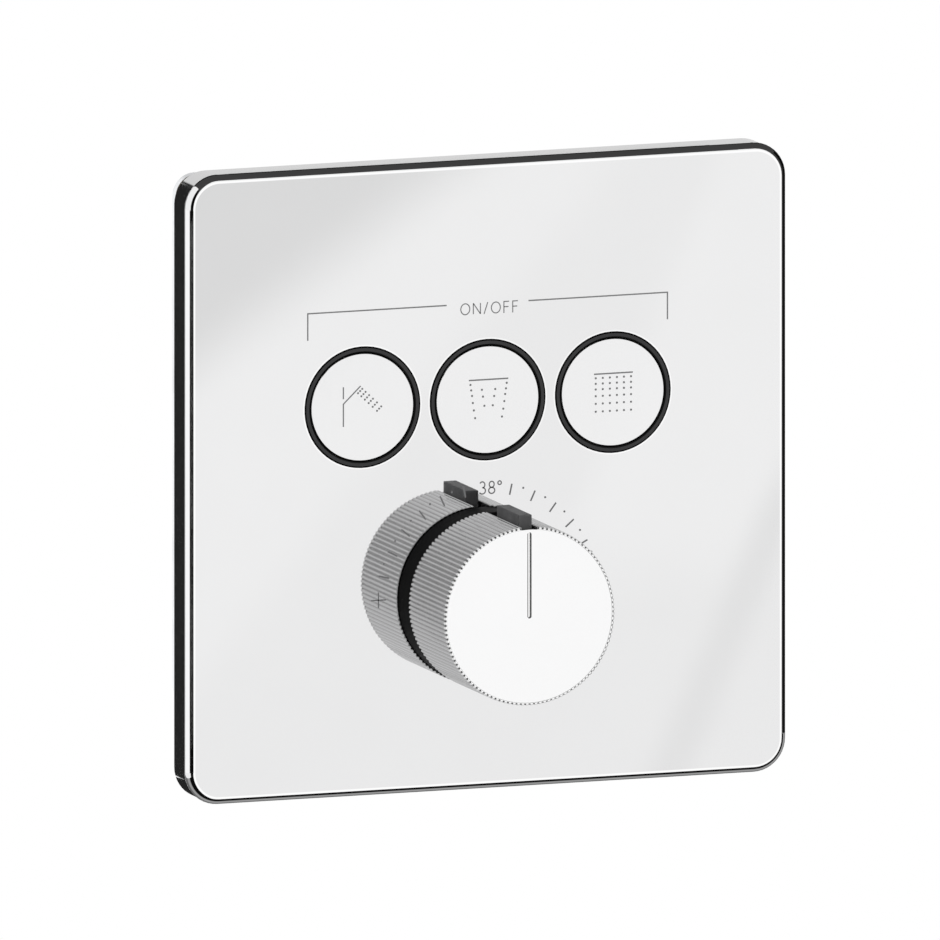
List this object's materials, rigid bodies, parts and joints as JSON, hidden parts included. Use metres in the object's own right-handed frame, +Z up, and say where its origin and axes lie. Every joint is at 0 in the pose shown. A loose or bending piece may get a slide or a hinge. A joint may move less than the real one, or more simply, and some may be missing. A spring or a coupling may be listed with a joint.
{
  "type": "thermostatic shower valve",
  "caption": "Concealed thermostatic shower valve: square mirror-finish trim plate with a row of round push buttons and a knurled temperature knob, on a brass body with inlets and outlets.",
  "frame": {"origin": "middle of the square trim plate, on the finished wall plane where the seal rests", "axes": "+X right and +Z up as seen from the front, +Y into the wall; the trim is at negative Y"},
  "size_m": [0.17, 0.1135, 0.17],
  "materials": {
    "plate_chrome": "mirror-polished",
    "frame_chrome": "polished",
    "button_chrome": "polished",
    "knob_metal": "polished, knurled",
    "knob_face": "polished",
    "black_plastic": "fine satin",
    "grey_plastic": "moulded",
    "cartridge_plastic": "moulded",
    "seal_rubber": "matt",
    "cast_brass": "cast",
    "turned_brass": "turned",
    "zinc_steel": "zinc-plated",
    "stainless_steel": "fine"
  },
  "bodies": {
    "fixed_body": {"body_screws": "zinc_steel", "carrier_posts": "turned_brass", "carrier_screws": "stainless_steel", "cartridge_end_cap": "cartridge_plastic", "cold_check_valve": "cartridge_plastic", "cold_filter": "stainless_steel", "front_plate": "plate_chrome", "gallery_plug": "turned_brass", "grub_screws": "stainless_steel", "hand_bezel": "black_plastic", "hand_cartridge_seal": "seal_rubber", "hand_gland_nut": "turned_brass", "hand_return_spring": "stainless_steel", "hand_shutoff_cartridge": "cartridge_plastic", "hot_check_valve": "cartridge_plastic", "hot_filter": "stainless_steel", "jet_bezel": "black_plastic", "jet_cartridge_seal": "seal_rubber", "jet_gland_nut": "turned_brass", "jet_return_spring": "stainless_steel", "jet_shutoff_cartridge": "cartridge_plastic", "knob_base_ring": "black_plastic", "mounting_bracket": "zinc_steel", "plate_frame": "frame_chrome", "post_screws": "zinc_steel", "rain_bezel": "black_plastic", "rain_cartridge_seal": "seal_rubber", "rain_gland_nut": "turned_brass", "rain_return_spring": "stainless_steel", "rain_shutoff_cartridge": "cartridge_plastic", "regulator_return_spring": "stainless_steel", "safety_spring": "stainless_steel", "temperature_stop_ring": "cartridge_plastic", "thermostat_cartridge": "turned_brass", "thermostat_gland_nut": "turned_brass", "thermostat_seals": "seal_rubber", "trim_carrier": "grey_plastic", "valve_body": "cast_brass", "wall_seal": "seal_rubber"},
    "knob": {"knob_sleeve": "knob_metal", "knob_disc": "knob_face", "knob_hub": "black_plastic", "knob_screw": "stainless_steel", "thermostat_spindle": "turned_brass"},
    "safety": {"safety_button": "black_plastic"},
    "regulator": {"lead_nut": "cartridge_plastic", "thermo_element": "turned_brass", "mixing_shuttle": "cartridge_plastic", "overload_spring": "stainless_steel"},
    "hand_actuator": {"hand_button": "button_chrome", "hand_push_rod": "stainless_steel", "hand_piston": "cartridge_plastic"},
    "jet_actuator": {"jet_button": "button_chrome", "jet_push_rod": "stainless_steel", "jet_piston": "cartridge_plastic"},
    "rain_actuator": {"rain_button": "button_chrome", "rain_push_rod": "stainless_steel", "rain_piston": "cartridge_plastic"}
  },
  "joints": [
    {"name": "knob_turn", "type": "hinge", "parent": "fixed_body", "child": "knob", "pos_m": [0, 0, -0.0332], "axis": [0, -1, 0], "range_deg": [-84, 84]},
    {"name": "safety_press", "type": "slide", "parent": "knob", "child": "safety", "axis": [0, 0, -1], "range_m": [0, 0.0016], "stiffness_N_per_m": 900, "springref_m": -0.003, "deforming": ["safety_spring"]},
    {"name": "regulator_slide", "type": "slide", "parent": "fixed_body", "child": "regulator", "axis": [0, 1, 0], "range_m": [-0.0019, 0.0019], "deforming": ["regulator_return_spring"]},
    {"name": "hand_press", "type": "slide", "parent": "fixed_body", "child": "hand_actuator", "axis": [0, 1, 0], "range_m": [0, 0.0035], "stiffness_N_per_m": 800, "springref_m": -0.006, "deforming": ["hand_return_spring"]},
    {"name": "jet_press", "type": "slide", "parent": "fixed_body", "child": "jet_actuator", "axis": [0, 1, 0], "range_m": [0, 0.0035], "stiffness_N_per_m": 800, "springref_m": -0.006, "deforming": ["jet_return_spring"]},
    {"name": "rain_press", "type": "slide", "parent": "fixed_body", "child": "rain_actuator", "axis": [0, 1, 0], "range_m": [0, 0.0035], "stiffness_N_per_m": 800, "springref_m": -0.006, "deforming": ["rain_return_spring"]}
  ],
  "couplings": [
    {"joint": "regulator_slide", "follows": "knob_turn", "m_per_rad": 0.0012732}
  ]
}
